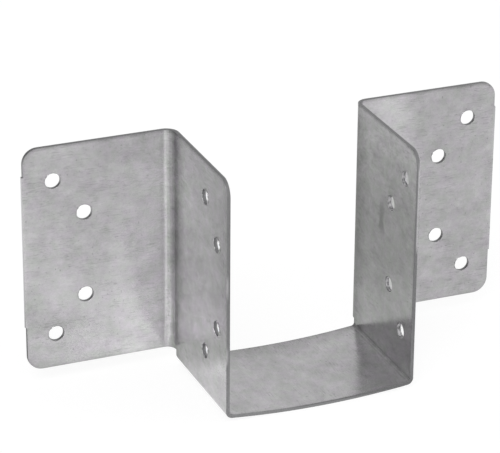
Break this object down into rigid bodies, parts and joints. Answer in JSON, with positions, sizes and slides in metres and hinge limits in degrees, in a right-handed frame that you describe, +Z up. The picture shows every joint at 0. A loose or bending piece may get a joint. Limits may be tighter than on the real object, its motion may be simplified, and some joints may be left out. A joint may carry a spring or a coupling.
{
  "type": "joist hanger",
  "caption": "Folded galvanised steel hanger that carries the end of a timber joist on a header, with nail holes in its flanges and side plates.",
  "frame": {"origin": "centre of the header nail pattern, on the plane of the flanges' back faces", "axes": "+X along the header to the joist's right, +Y out of the hanger's back into the header, +Z up; the joist runs along Y through the stirrup"},
  "size_m": [0.1614, 0.047, 0.0803],
  "materials": {
    "galvanised_sheet": "zinc coated, satin, with fine rolling marks"
  },
  "bodies": {
    "root": {"hanger": "galvanised_sheet"}
  },
  "joints": []
}
